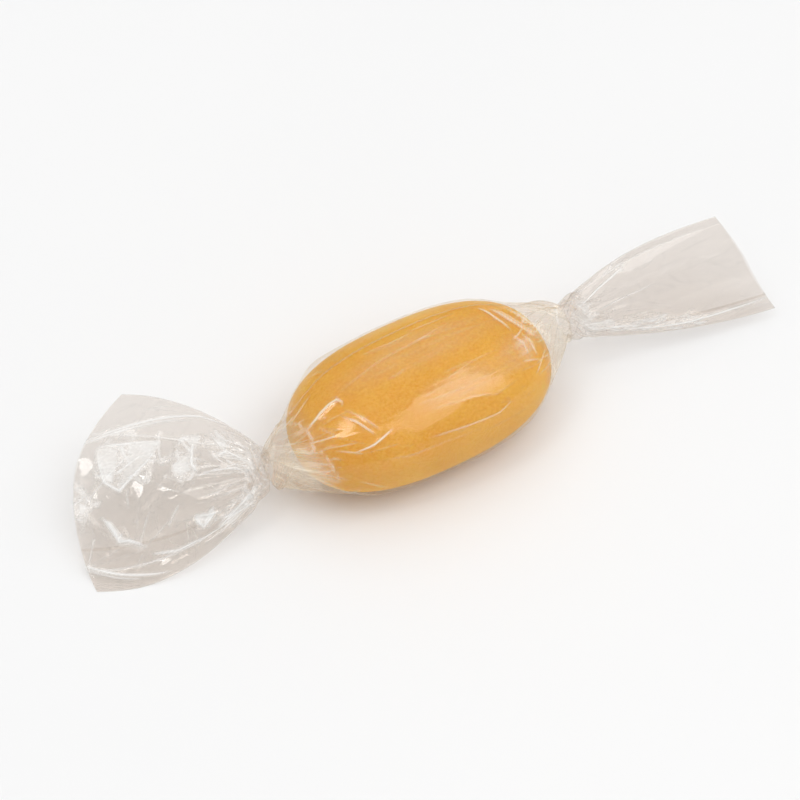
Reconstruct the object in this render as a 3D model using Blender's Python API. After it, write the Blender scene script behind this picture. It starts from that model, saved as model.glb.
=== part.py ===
"""A hard caramel sweet in a clear twist wrapper, lying on a table.

Two pieces: the sweet, a smooth oblong pillow, and the wrapper, one film tube that is taut round the
sweet, pinched and twisted at both ends, and spread into a fan beyond each twist. The film's wall is
drawn thicker than real film, and each twist keeps the narrow channel that a real one has, so the
space round the sweet is open to the outside.

Frame: +X along the sweet towards its right fan, +Z up, origin on the table under the sweet's middle.
"""

import math

import bpy
from mathutils import Vector

MM = 0.001

# The sweet is a rounded box with these outer sizes.
SWEET_LENGTH = 27.6 * MM
SWEET_WIDTH = 15.6 * MM
SWEET_THICKNESS = 11.8 * MM
OUTLINE_POWER = 2.5  # seen from above: 2 is an ellipse, higher is boxier
SECTION_POWER = 2.25  # cut across
SWEET_RINGS = 22
SWEET_SEGMENTS = 36

# The film is a tube whose free lengthwise edge laps over the layer below.
FILM_WALL = 0.20 * MM
FILM_GAP = 0.30 * MM  # between the sweet and the film
LAP_STEP = 0.14 * MM  # how far the free edge stands above the layer below
LAP_ANGLE = math.radians(60)  # where that edge runs, from +Y over the top
LAP_WIDTH = math.radians(46)
LAP_SHARPNESS = math.radians(0.9)
RING_POINTS = 48
FLAT_SPOT_DEPTH = 0.08 * MM  # the belly is pressed flat by this much where it rests
REST_CLEARANCE = 0.05 * MM  # the fans stay this far above the table

# Between the sweet and each twist the film is a pleated cone.
LEAVES_SWEET_AT = 0.60  # share of the sweet's half length
CONE_FULLNESS = 1.2  # 1 is a straight cone, higher is fuller
PLEATS_START = 0.62  # share of the way from the middle to the twist

TWIST_RADIUS = 1.75 * MM
TWIST_CHANNEL = 0.45 * MM
TWIST_TURN = math.radians(150)
TWIST_SPAN = 0.13  # the twist runs on into the fan for this share of its length
FLUTES = 6
FLUTE_DEPTH = 0.17  # share of the twist's radius

BELLY_STATIONS = 21
FAN_STATIONS = 13
STATION_CROWDING = 1.25  # above 1, a fan's stations crowd towards its twist

# Each fan is the tube pressed flat: a flat flap along each side, and a puffed middle between them.
# Its pleats are waves across it, each with a count, a depth, a phase and the share where it dies out.
# The twist's centre is measured from the sweet's.
FLAP_HALF_THICKNESS = 0.30 * MM
LEFT_FAN = {
    "side": -1,
    "twist_centre": Vector((-17.2, -0.3, -0.7)) * MM,
    "yaw": math.radians(152.2),  # heading of its middle line in plan
    "lean": math.radians(30),  # how far its plane is tipped up from level
    "reach": 19.4 * MM,
    "upper_cutback": 4.9 * MM,  # the cut edge falls back this far at the upper corner
    "lower_cutback": 2.2 * MM,
    "cutback_power": 2.1,
    "upper_corner": 7.9 * MM,  # how far from the middle line each corner is
    "lower_corner": -11.8 * MM,
    "upper_flare": 1.95,  # 1 is a straight side, higher spreads sooner
    "lower_flare": 2.2,
    "front_puff": 2.3 * MM,
    "back_puff": 1.3 * MM,
    "puff_peak": 0.45,  # share of the reach where it is thickest
    "mouth_share": 0.55,  # what is left of the puff at the cut edge
    "upper_flap": 0.40,  # share of the half width that lies flat
    "lower_flap": 0.22,
    "pleats": (
        (7.3, 0.22 * MM, 0.6, 0.55),
        (3.1, 0.30 * MM, 2.1, 1.3),
        (1.7, 0.35 * MM, 0.4, 1.6),
    ),
}
RIGHT_FAN = {
    "side": 1,
    "twist_centre": Vector((17.0, 0.6, 0.5)) * MM,
    "yaw": math.radians(-7.0),
    "lean": math.radians(60),
    "reach": 20.2 * MM,
    "upper_cutback": 2.4 * MM,
    "lower_cutback": -2.2 * MM,
    "cutback_power": 1.2,
    "upper_corner": 5.9 * MM,
    "lower_corner": -6.1 * MM,
    "upper_flare": 2.8,
    "lower_flare": 1.75,
    "front_puff": 0.9 * MM,
    "back_puff": 0.6 * MM,
    "puff_peak": 0.35,
    "mouth_share": 0.45,
    "upper_flap": 0.25,
    "lower_flap": 0.05,
    "pleats": (
        (8.5, 0.16 * MM, 0.2, 0.5),
        (2.3, 0.22 * MM, 1.1, 1.5),
    ),
}

SWEET_CENTRE_Z = SWEET_THICKNESS / 2 + FILM_GAP + FILM_WALL - FLAT_SPOT_DEPTH


def clear_scene():
    for obj in list(bpy.data.objects):
        bpy.data.objects.remove(obj)


def smooth_step(x):
    x = min(max(x, 0.0), 1.0)
    return x * x * (3 - 2 * x)


def signed_power(value, power):
    return math.copysign(abs(value) ** power, value)


def superellipse(angle, half_width, half_height, power):
    """A point of a rounded rectangle's outline; the angle starts at the end of its width."""
    return (
        half_width * signed_power(math.cos(angle), 2 / power),
        half_height * signed_power(math.sin(angle), 2 / power),
    )


def width_share(x, half_length):
    """The pillow's width at x, as a share of its full width."""
    return (1 - min(abs(x) / half_length, 1.0) ** OUTLINE_POWER) ** (1 / OUTLINE_POWER)


def ring_angles():
    """Even angles round the film, with two of them moved close together at the lap's free edge."""
    angles = [2 * math.pi * i / RING_POINTS for i in range(RING_POINTS)]
    nearest = min(range(RING_POINTS), key=lambda i: abs(angles[i] - LAP_ANGLE))
    angles[nearest] = LAP_ANGLE - LAP_SHARPNESS / 2
    angles[nearest + 1] = LAP_ANGLE + LAP_SHARPNESS / 2
    return angles


def lap_height(angle):
    """The film is doubled on one side of its free edge, and slopes back to one layer further round."""
    below = LAP_ANGLE - angle
    if below < 0 or below > LAP_WIDTH:
        return 0.0
    return LAP_STEP * (1 - smooth_step(below / LAP_WIDTH))


def fan_axes(fan):
    """The fan's own directions: outwards from the twist, across to its upper corner, and its front."""
    yaw, lean = fan["yaw"], fan["lean"]
    outwards = Vector((math.cos(yaw), math.sin(yaw), 0))
    level_across = Vector((-math.sin(yaw), math.cos(yaw), 0)) * fan["side"]
    across = level_across * math.cos(lean) + Vector((0, 0, math.sin(lean)))
    front = Vector((0, 0, math.cos(lean))) - level_across * math.sin(lean)
    return outwards, across, front


def upper_corner_angle(fan):
    """The angle round the sweet that faces the same way as the fan's upper corner."""
    _, across, _ = fan_axes(fan)
    return math.atan2(across.z, across.y)


def belly_ring(share, inset):
    """A ring of the film between the twists. share runs from -1 at the left twist to 1 at the right."""
    end = (LEFT_FAN if share < 0 else RIGHT_FAN)["twist_centre"]
    x = abs(share) * end.x
    towards_end = smooth_step((abs(share) - PLEATS_START) / (1 - PLEATS_START))
    centre = Vector((x, end.y * towards_end, SWEET_CENTRE_Z + end.z * towards_end))

    wall = FILM_GAP + FILM_WALL
    half_length = SWEET_LENGTH / 2 + wall
    leaves_at = LEAVES_SWEET_AT * half_length
    along_cone = max(0.0, (abs(x) - leaves_at) / (abs(end.x) - leaves_at))
    to_twist = along_cone**CONE_FULLNESS
    hug = width_share(min(abs(x), leaves_at), half_length)
    half_width, half_height = (
        (size / 2 + wall) * hug * (1 - to_twist) + TWIST_RADIUS * to_twist
        for size in (SWEET_WIDTH, SWEET_THICKNESS)
    )
    power = SECTION_POWER + (2 - SECTION_POWER) * to_twist
    closing = to_twist**3
    wall_here = inset * (1 - closing) + closing * (TWIST_RADIUS - TWIST_CHANNEL) * inset / FILM_WALL
    pleat_depth = towards_end * FLUTE_DEPTH * TWIST_RADIUS * (1 - 0.75 * inset / FILM_WALL)
    turn = math.copysign(TWIST_TURN * 0.5 * to_twist**4, share)
    points = []
    for angle in ring_angles():
        y, z = superellipse(angle + turn, half_width, half_height, power)
        radius = math.hypot(y, z)
        lap = lap_height(angle) * (1 - to_twist)
        swell = lap + pleat_depth * math.cos(FLUTES * angle) - wall_here
        scale = (radius + swell) / radius
        point = centre + Vector((0, y * scale, z * scale))
        point.z = max(point.z, inset * (1 - FLAT_SPOT_DEPTH / FILM_WALL))
        points.append(point)
    return points


def puff_at(fan, t, lift, share):
    """How far a face of the fan stands off its middle plane, besides the flaps' own thickness."""
    flap = fan["upper_flap"] if t > 0 else fan["lower_flap"]
    inside = max(0.0, 1 - (abs(t) / (1 - flap)) ** 3)
    if share < fan["puff_peak"]:
        swelling = smooth_step(share / fan["puff_peak"])
    else:
        falling = smooth_step((share - fan["puff_peak"]) / (1 - fan["puff_peak"]))
        swelling = 1 - (1 - fan["mouth_share"]) * falling
    return (fan["front_puff"] if lift > 0 else -fan["back_puff"]) * inside * swelling


def pleat_at(fan, t, share):
    """The pleats lift both faces of the fan alike."""
    total = 0.0
    for count, depth, phase, dies_at in fan["pleats"]:
        strength = smooth_step(share / 0.12) * max(0.0, 1 - share / dies_at)
        total += depth * strength * math.cos(math.pi * count * t + phase)
    return total


def fan_ring(fan, share, inset):
    """A ring of the film in a fan. share runs from 0 at the twist to 1 at the cut edge."""
    outwards, across, front = fan_axes(fan)
    start = Vector((0, 0, SWEET_CENTRE_Z)) + fan["twist_centre"]
    turned = fan["side"] * TWIST_TURN * (0.5 + 0.5 * smooth_step(share / TWIST_SPAN))
    corner = upper_corner_angle(fan)
    opening = smooth_step(share / 0.35)
    fluting = FLUTE_DEPTH * TWIST_RADIUS * (1 - smooth_step(share / 0.3))
    middle = (fan["upper_corner"] + fan["lower_corner"]) / 2
    half = (fan["upper_corner"] - fan["lower_corner"]) / 2 - 1.6 * inset
    points = []
    for angle in ring_angles():
        round_angle = angle + turned - corner
        t, lift = math.cos(round_angle), math.sin(round_angle)
        radius = TWIST_RADIUS + fluting * math.cos(FLUTES * angle)
        if inset:
            radius = TWIST_CHANNEL + (TWIST_RADIUS - inset - TWIST_CHANNEL) * opening
        flare = fan["upper_flare"] * (1 + t) / 2 + fan["lower_flare"] * (1 - t) / 2
        spread = 1 - (1 - share) ** flare
        cutback = fan["upper_cutback"] if t > 0 else fan["lower_cutback"]
        reach = fan["reach"] - cutback * abs(t) ** fan["cutback_power"]
        to_side = radius * t * (1 - spread) + (middle + half * t) * spread

        flat = signed_power(lift, 0.5) * (FLAP_HALF_THICKNESS - inset)
        rise = radius * lift * (1 - opening) + opening * (flat + puff_at(fan, t, lift, share))
        rise += pleat_at(fan, t, share) * opening

        point = start + outwards * reach * share + across * to_side + front * rise
        point.z = max(point.z, REST_CLEARANCE + inset)
        points.append(point)
    return points


def wrapper_rings(inset):
    """All rings of one face of the film, from the left cut edge to the right one."""
    shares = [((i + 1) / FAN_STATIONS) ** STATION_CROWDING for i in range(FAN_STATIONS)]
    left = [fan_ring(LEFT_FAN, share, inset) for share in reversed(shares)]
    belly = [belly_ring(2 * i / (BELLY_STATIONS - 1) - 1, inset) for i in range(BELLY_STATIONS)]
    right = [fan_ring(RIGHT_FAN, share, inset) for share in shares]
    return left + belly + right


def make_wrapper():
    """The film's outer and inner face, each a loft through its rings, joined at both cut edges."""
    outer, inner = wrapper_rings(0.0), wrapper_rings(FILM_WALL)
    points = [point for ring in outer + inner for point in ring]
    first_inner = len(outer) * RING_POINTS
    faces = []
    for station in range(len(outer) - 1):
        for i in range(RING_POINTS):
            a = station * RING_POINTS + i
            b = station * RING_POINTS + (i + 1) % RING_POINTS
            quad = [a, b, b + RING_POINTS, a + RING_POINTS]
            faces.append(quad)
            faces.append([first_inner + corner for corner in reversed(quad)])
    for station, at_left_edge in ((0, True), (len(outer) - 1, False)):
        for i in range(RING_POINTS):
            a = station * RING_POINTS + i
            b = station * RING_POINTS + (i + 1) % RING_POINTS
            rim = [b, a, first_inner + a, first_inner + b]
            faces.append(rim if at_left_edge else list(reversed(rim)))
    mesh = bpy.data.meshes.new("wrapper")
    mesh.from_pydata(points, [], faces)
    return bpy.data.objects.new("wrapper", mesh)


def make_sweet():
    """A sphere whose points are moved out to the sweet's rounded box."""
    bpy.ops.mesh.primitive_uv_sphere_add(segments=SWEET_SEGMENTS, ring_count=SWEET_RINGS, radius=1)
    sweet = bpy.context.object
    sweet.name = sweet.data.name = "sweet"
    for vertex in sweet.data.vertices:
        turn = math.atan2(vertex.co.y, vertex.co.x)
        x = math.sin(vertex.co.z * math.pi / 2) * SWEET_LENGTH / 2
        share = width_share(x, SWEET_LENGTH / 2)
        y, z = superellipse(turn, SWEET_WIDTH / 2 * share, SWEET_THICKNESS / 2 * share, SECTION_POWER)
        vertex.co = (x, y, z)
    sweet.location = (0, 0, SWEET_CENTRE_Z)
    sweet.data.shade_smooth()
    return sweet


def material(name, colour, roughness, alpha=1.0):
    made = bpy.data.materials.new(name)
    made.use_nodes = True
    shader = made.node_tree.nodes["Principled BSDF"]
    shader.inputs["Base Color"].default_value = (*colour, 1)
    shader.inputs["Roughness"].default_value = roughness
    shader.inputs["Metallic"].default_value = 0
    shader.inputs["Alpha"].default_value = alpha
    return made


def main():
    clear_scene()
    collection = bpy.data.collections.new("wrapped_caramel")
    bpy.context.scene.collection.children.link(collection)

    sweet = make_sweet()
    sweet.data.materials.append(material("caramel", (0.78, 0.38, 0.06), 0.25))
    wrapper = make_wrapper()
    wrapper.data.materials.append(material("clear_film", (0.80, 0.76, 0.71), 0.1, 0.35))
    for obj in (sweet, wrapper):
        for owner in list(obj.users_collection):
            owner.objects.unlink(obj)
        collection.objects.link(obj)


main()
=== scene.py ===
"""The looks of a hard caramel sweet in a clear twist wrapper: film, sweet, light and camera."""

import math
import random

import bpy
import numpy as np
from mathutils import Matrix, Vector
from mathutils.bvhtree import BVHTree
from mathutils.geometry import delaunay_2d_cdt


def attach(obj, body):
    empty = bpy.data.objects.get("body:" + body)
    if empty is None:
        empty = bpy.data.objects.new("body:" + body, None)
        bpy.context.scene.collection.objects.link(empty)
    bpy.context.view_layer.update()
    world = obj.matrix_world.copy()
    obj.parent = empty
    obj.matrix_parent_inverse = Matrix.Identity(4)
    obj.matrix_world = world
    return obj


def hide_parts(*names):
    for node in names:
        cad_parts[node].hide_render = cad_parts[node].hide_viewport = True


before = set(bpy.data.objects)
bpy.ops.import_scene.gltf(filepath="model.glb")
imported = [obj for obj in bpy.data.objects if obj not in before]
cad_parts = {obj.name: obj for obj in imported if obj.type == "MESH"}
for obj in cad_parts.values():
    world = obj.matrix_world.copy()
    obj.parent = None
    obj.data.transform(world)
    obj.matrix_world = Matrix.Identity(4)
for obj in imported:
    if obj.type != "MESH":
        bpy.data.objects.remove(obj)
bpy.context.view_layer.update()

MM = 0.001
FULL_TURN = 2 * math.pi

# The film's outer face lies where the CAD has it. The film is thinner here, so the sweet is larger,
# and its width and height also have the swell on each side.
SWEET_LENGTH = 27.9 * MM
SWEET_WIDTH = 15.9 * MM
SWEET_THICKNESS = 12.1 * MM
OUTLINE_POWER = 2.5  # 2 is an ellipse, higher is squarer
SECTION_POWER = 2.25
FILM_GAP = 0.35 * MM  # from the sweet to the film's outer face
FLAT_SPOT_DEPTH = 0.08 * MM
SWEET_CENTRE_Z = SWEET_THICKNESS / 2 + FILM_GAP - FLAT_SPOT_DEPTH
FILM_THICKNESS = 0.04 * MM
SWEET_SWELL = 0.14 * MM
SWEET_SEGMENTS = 192
SWEET_RINGS = 128

# The film is a rolled sheet: it starts at its free edge, goes once round, and ends just under its
# start, a little further on the right.
LAP_ANGLE = math.radians(60)
LAP_DROP = 0.07 * MM
LAP_EASE = 0.25  # radians over which the inner end goes down

LEAVES_SWEET_AT = 0.60  # share of the half length where the film leaves the sweet
CONE_FULLNESS = 1.2  # 1 is a straight cone, higher is fuller
PLEATS_START = 0.62  # share of the way to the twist
TWIST_RADIUS = 1.75 * MM
TWIST_TURN = math.radians(150)
TWIST_LATE = 4  # the higher, the nearer the twist the cone turns
TWIST_SPAN = 0.13  # share of a fan over which it still turns
ROUND_FLUTES = (6, 0.60)  # how many pleats round the twist, and their share of the depth
SHARP_FLUTES = ((11, 0.7, 0.50), (17, 2.1, 0.14))  # the same, with a phase between
FLUTE_DEPTH = 0.17  # share of the twist's radius
FLAP_HALF_THICKNESS = 0.24 * MM

BODY_ROWS = 172
BODY_COLUMNS = 280
FAN_ROWS = 146
FAN_COLUMNS = 330
CROWDING = 0.06  # how much rows gather half way to each twist, and columns on the camera's side
CROWDED_SIDE = 0.78  # share of the way round
FAN_ROW_POWER = 1.08  # 1 is evenly spaced rows, higher is closer at the twist

# Sizes of the fans. The yaw and lean turn the fan's plane, a cutback is how far the cut edge falls
# back at a corner, and a flare of 1 is a straight side and a higher one spreads sooner. Then:
# - pleats: how many across, depth, phase, and the share of the fan where they have died out
# - facets and crinkles: how many along and across a side of the fan, and their relief
# - patches, crumpled more finely: middle and half size, as shares of the way out and of the way
#   across, where -1 and 1 are the lower and upper side
# - glint facets: painted highlights, white facets where the film would mirror a lamp; how white
#   each is, and its corners in the same shares
# - creases: half width and height in millimetres, and points in the same shares
LEFT_FAN = {
    "side": -1,
    "lap": math.radians(2),
    # a little paler than the right fan's tint though both are the same film: painted light that
    # evens out the left fan lying over its own shadow
    "tint": (0.974, 0.961, 0.949, 1),
    "random_creases": 10,
    "twist_centre": (-17.2 * MM, -0.3 * MM, -0.7 * MM),
    "yaw": math.radians(152.2),
    "lean": math.radians(30),
    "reach": 19.4 * MM,
    "upper_cutback": 4.9 * MM,
    "lower_cutback": 2.2 * MM,
    "cutback_power": 2.1,
    "upper_corner": 7.9 * MM,
    "lower_corner": -11.8 * MM,
    "upper_flare": 1.95,
    "lower_flare": 2.2,
    "front_puff": 2.3 * MM,
    "back_puff": 1.3 * MM,
    "puff_peak": 0.45,
    "mouth_share": 0.55,
    "upper_flap": 0.40,
    "lower_flap": 0.22,
    "fluted_to": 0.38,
    "pleats": (
        (7.3, 0.22 * MM, 0.6, 0.55),
        (3.1, 0.30 * MM, 2.1, 1.3),
        (1.7, 0.35 * MM, 0.4, 1.6),
    ),
    "facets": ((5, 5, 0.30 * MM), (12, 12, 0.24 * MM), (34, 36, 0.012 * MM)),
    "crinkles": ((40, 48, 0.022 * MM), (18, 90, 0.018 * MM), (80, 36, 0.008 * MM)),
    "patches": (
        (0.76, 0.30, 0.15, 0.28),
        (0.44, 0.36, 0.07, 0.30),
        (0.24, 0.62, 0.13, 0.24),
        (0.34, -0.54, 0.06, 0.12),
        (0.14, -0.68, 0.14, 0.20),
        (0.79, -0.46, 0.04, 0.07),
        (0.95, -0.12, 0.04, 0.22),
        (0.10, 0.40, 0.06, 0.30),
    ),
    # painted highlights: white facets where the film would mirror a lamp
    "painted_glints": (
        (0.95, (0.83, 0.11), (0.93, 0.45), (0.80, 0.48), (0.79, 0.30), (0.80, 0.10)),
        (0.80, (0.59, 0.57), (0.76, 0.50), (0.74, 0.32), (0.77, 0.06), (0.75, 0.02), (0.64, 0.28)),
        (0.95, (0.50, 0.26), (0.43, 0.42), (0.40, 0.18), (0.48, 0.09)),
        (0.70, (0.40, 0.72), (0.44, 0.68), (0.43, 0.46), (0.39, 0.52)),
        (0.90, (0.34, 0.86), (0.25, 0.76), (0.23, 0.60), (0.29, 0.66)),
        (0.95, (0.39, -0.44), (0.29, -0.53), (0.35, -0.65)),
        (0.95, (0.10, -0.58), (0.02, -0.48), (0.10, -0.52), (0.22, -0.72))
        + ((0.26, -0.86), (0.18, -0.84)),
        (0.90, (0.85, -0.31), (0.82, -0.30), (0.77, -0.47), (0.67, -0.58))
        + ((0.68, -0.62), (0.79, -0.55)),
        (0.90, (0.97, -0.10), (0.93, -0.14), (0.95, -0.23), (0.98, -0.22)),
        (0.80, (0.90, -0.11), (0.85, -0.08), (0.88, -0.17)),
    ),
    "creases": (
        (0.25, 0.24, (1.06, 0.49), (0.81, 0.69), (0.62, 0.83), (0.44, 0.94), (0.26, 0.98)),
        (0.25, 0.18, (1.04, 0.47), (0.81, 0.655), (0.62, 0.79), (0.48, 0.87)),
        (0.25, 0.24, (1.06, -0.70), (0.84, -0.83), (0.56, -0.95)),
        (0.25, 0.14, (1.04, -0.745), (0.86, -0.86), (0.70, -0.93)),
        (0.25, 0.20, (0.64, -0.70), (0.50, -0.77), (0.36, -0.76)),
        (0.40, 0.34, (0.86, -0.26), (0.83, -0.33), (0.79, -0.51), (0.74, -0.52), (0.66, -0.61)),
        (0.30, 0.26, (0.02, -0.50), (0.14, -0.66), (0.28, -0.78)),
        (0.30, 0.22, (0.93, 0.46), (0.78, 0.50), (0.58, 0.57)),
        (0.30, 0.20, (0.58, 0.57), (0.64, 0.28), (0.76, 0.00), (0.84, 0.10), (0.92, 0.46)),
        (0.30, 0.24, (0.50, 0.66), (0.42, 0.56), (0.40, 0.28), (0.36, 0.14)),
        (0.30, 0.22, (0.12, 0.40), (0.26, 0.60), (0.36, 0.80)),
        (0.25, 0.20, (0.40, -0.44), (0.29, -0.53), (0.35, -0.65), (0.40, -0.44)),
        (0.25, 0.14, (0.36, 0.14), (0.20, 0.20), (0.06, 0.10)),
    ),
}
RIGHT_FAN = {
    "side": 1,
    "lap": math.radians(3),
    # a little darker than the left fan's tint though both are the same film: painted shade, the
    # other half of that balance
    "tint": (0.964, 0.948, 0.934, 1),
    "random_creases": 0,
    "twist_centre": (17.0 * MM, 0.6 * MM, 0.5 * MM),
    "yaw": math.radians(-7.0),
    "lean": math.radians(60),
    "reach": 20.2 * MM,
    "upper_cutback": 2.4 * MM,
    "lower_cutback": -2.2 * MM,
    "cutback_power": 1.2,
    "upper_corner": 5.9 * MM,
    "lower_corner": -6.1 * MM,
    "upper_flare": 2.8,
    "lower_flare": 1.75,
    "front_puff": 0.9 * MM,
    "back_puff": 0.6 * MM,
    "puff_peak": 0.35,
    "mouth_share": 0.45,
    "upper_flap": 0.12,
    "lower_flap": 0.05,
    "fluted_to": 0.26,
    "pleats": (
        (8.5, 0.08 * MM, 0.2, 0.35),
        (2.3, 0.22 * MM, 1.1, 1.5),
    ),
    "facets": ((3, 4, 0.20 * MM), (10, 9, 0.14 * MM), (34, 30, 0.008 * MM)),
    "crinkles": ((44, 50, 0.040 * MM), (20, 90, 0.022 * MM), (100, 40, 0.010 * MM)),
    "patches": (
        (0.14, -0.42, 0.13, 0.26),
        (0.36, -0.68, 0.12, 0.18),
        (0.57, -0.84, 0.10, 0.13),
        (0.07, 0.30, 0.07, 0.60),
        (0.34, 0.88, 0.10, 0.08),
    ),
    # painted glints: small white facets where the film would mirror a lamp
    "painted_glints": (
        (1.50, (0.20, -0.50), (0.27, -0.52), (0.31, -0.59), (0.23, -0.56)),
        (1.50, (0.37, -0.54), (0.46, -0.56), (0.43, -0.62)),
        (1.50, (0.33, -0.76), (0.41, -0.78), (0.38, -0.86)),
        (1.50, (0.48, -0.90), (0.56, -0.92), (0.53, -0.98)),
        (1.50, (0.60, -0.86), (0.68, -0.90), (0.63, -0.96)),
        (0.60, (0.04, -0.28), (0.10, -0.38), (0.16, -0.44), (0.08, -0.44)),
    ),
    "creases": (
        (0.30, 0.26, (1.02, -0.74), (0.80, -0.76), (0.60, -0.80), (0.40, -0.78), (0.16, -0.62)),
        (0.35, 0.22, (0.04, -0.30), (0.16, -0.50), (0.34, -0.62)),
        (0.35, 0.20, (0.06, 0.60), (0.20, 0.74), (0.40, 0.84)),
        (0.50, 0.10, (0.10, 0.10), (0.30, 0.22), (0.52, 0.26)),
    ),
}

# How much the columns of a fan gather: away from its side folds, and on its front.
AWAY_FROM_FOLDS = 0.125
ON_THE_FRONT = 0.2
# Shares of the way out by which a fan has opened, its pleats and its crumples have grown, and its
# film is as white as it gets.
OPEN_BY = 0.35
PLEATED_BY = 0.12
CRUMPLED_BY = 0.15
WHITE_BY = 0.3
WHITE_AT_TWIST = 0.6  # share of the whiteness that shows there
FLUTES_ON_SIDES = 0.6
FLAP_EASE = 0.08
FLAP_CALM = 0.5  # how much less a flap is crumpled
FOLD_CALM = 0.3  # power by which the crumples fade at the side folds
FAN_LINE_WIDTHS = (0.035, 0.08)  # of the creases, as shares of a facet
FAN_AT_REST = 0.25  # share of the fine relief outside the patches
BACK_WHITENESS = 0.5
LEAST_HEIGHT = 0.05 * MM  # above the floor
# the white along a fan's crests is partly crease whitening and partly painted highlight
FAN_WHITE_HEIGHT = 0.25 * MM  # a crease of this height is white all along its crest
# Random creases on a fan: ranges as shares of its reach and half width, then sizes.
RANDOM_ALONG = (0.2, 0.9)
RANDOM_ACROSS = (-0.6, 0.6)
FAN_RANDOM_LENGTH = (2 * MM, 5 * MM)
FAN_RANDOM_HALF_WIDTH = 0.35 * MM
FAN_RANDOM_HEIGHT = (0.04 * MM, 0.12 * MM)

# The film on the sweet, with places in millimetres along and degrees round from +Y over the top.
BODY_FACETS = ((7, 13, 0.14 * MM), (22, 36, 0.06 * MM), (60, 100, 0.004 * MM))
BODY_STREAKS = (9, 130, 0.012 * MM)
BODY_CRINKLES = ((60, 90, 0.026 * MM), (30, 160, 0.012 * MM))
BODY_LINE_WIDTHS = (0.03, 0.08)
CONE_FACETS = ((8, 20, 0.36 * MM), (14, 38, 0.10 * MM), (40, 90, 0.008 * MM))
BODY_PATCHES = (
    (-11.8, 105, 0.9, 17),
    (-14.2, 100, 1.0, 34),
    (-13.6, 160, 1.2, 26),
    (12.9, 160, 0.6, 22),
    (12.6, 90, 1.0, 24),
)
# Half width and height in millimetres, then points.
BODY_CREASES = (
    # the hook at the left end
    (0.30, 0.16, (-13.2, 99), (-12.3, 93.5), (-11.2, 90), (-10.1, 88.5))
    + ((-9.3, 88.8), (-8.9, 91.5), (-9.2, 95)),
    (0.25, 0.09, (-9.8, 100), (-8.7, 112), (-7.7, 128)),
    (0.25, 0.06, (-9.2, 97), (-8.1, 109), (-7.1, 125)),
    (0.30, 0.13, (-10.2, 138), (-8.2, 135), (-6.0, 128)),
    (0.30, 0.08, (-12.9, 122), (-12.4, 150), (-12.0, 182)),
    (0.60, 0.20, (-15.6, 160), (-12.0, 190), (-8.0, 208)),
    (0.40, 0.22, (-14.2, 40), (-14.8, 60), (-15.6, 86)),
    (0.30, 0.13, (8.6, 64), (9.4, 80), (10.2, 95)),
    (0.25, 0.14, (9.5, 66), (11.0, 88), (12.6, 111)),
    (0.25, 0.12, (9.9, 66), (11.4, 88), (13.0, 111)),
    (0.30, 0.16, (11.2, 64), (12.6, 90), (14.0, 118)),
    # the ring on the left cone
    (0.30, 0.11, (-14.8, 104), (-14.5, 122), (-13.9, 130), (-13.3, 122))
    + ((-13.0, 104), (-13.3, 86), (-13.9, 78), (-14.5, 86)),
    (0.35, 0.16, (13.0, 143), (12.9, 162), (12.6, 184)),
    (0.40, 0.09, (-3.2, 147), (1.0, 152), (4.9, 155), (6.4, 151), (6.2, 143)),
    (0.40, 0.05, (-1.9, 126), (2.9, 131), (5.3, 138), (8.4, 135)),
    (0.35, 0.04, (1.0, 110), (4.4, 106), (7.8, 105)),
    (0.40, 0.04, (-8.8, 152), (-5.0, 157), (-1.0, 158), (3.0, 162)),
    (0.40, 0.04, (-9.0, 86), (-4.0, 80), (1.0, 78), (5.5, 72)),
    # the corner that stands off at the back on the left
    (1.8, 0.34, (-9.6, 8), (-7.9, 30), (-6.8, 54)),
    (0.25, 0.05, (-5.0, 66), (-1.5, 69), (1.6, 68)),
    (0.25, 0.05, (0.4, 65), (3.0, 66), (6.2, 64)),
    # the crinkled patch at the right end
    (0.22, 0.06, (9.9, 99), (10.6, 110), (10.5, 121)),
    (0.22, 0.08, (10.9, 98), (11.5, 111), (11.4, 128)),
    (0.22, 0.05, (9.4, 124), (10.6, 128), (11.6, 134)),
)
# Random creases on it: how many, from where to where along, heading and its spread in radians, and
# the limits of length and height.
BODY_RANDOM_CREASES = (
    (18, (-9 * MM, 9 * MM), 0, 0.12, (2 * MM, 8 * MM), (0.01 * MM, 0.035 * MM)),
    (26, (-15 * MM, -9 * MM), 0.2, 0.7, (1 * MM, 4 * MM), (0.015 * MM, 0.07 * MM)),
    (26, (9 * MM, 15 * MM), -0.2, 0.7, (1 * MM, 4 * MM), (0.015 * MM, 0.07 * MM)),
)
BODY_RANDOM_HALF_WIDTH = 0.25 * MM
# the white along the body's crests is partly crease whitening and partly painted highlight
BODY_WHITE_HEIGHT = 0.20 * MM
BODY_WHITE_HALF_WIDTH = 0.3 * MM  # a wider crease is less white
# Painted sheen on the film over the sweet: faint white where it would mirror the lamps and the room.
# The strongest, at the left end, is also the film's whitish crumple there. Places and half sizes as
# above, and how white they are.
PAINTED_SHEEN_VEILS = (
    (-14.8, 158, 2.6, 56, 0.50),
    (3.2, 119, 8.0, 17, 0.13),
    (0.5, 82, 13.0, 20, 0.12),
    (9.6, 114, 3.4, 24, 0.13),
    (13.8, 150, 2.0, 70, 0.16),
    (10.6, 114, 1.7, 15, 0.30),
)
SHEEN_VEIL_EDGE = 0.8  # share of a veil over which it fades
CONE_HAZE = 0.22
CONE_HAZE_FROM, CONE_HAZE_OVER = 0.3, 0.4  # shares of the way along the cone
CONE_DULLING = 0.6  # how much less of the whiteness shows at the twist
# Near the sweet the film can bulge, but hardly dip. It is free further out on the cone.
FREE_FROM, FREE_OVER = 0.25, 0.3
DIP_ON_SWEET = 0.3  # share of a dip that is left
DEEPEST_ON_SWEET = 0.05 * MM
DEEPER_WHERE_FREE = 0.5 * MM
UNDER_LAP_CALM = 0.8
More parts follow.
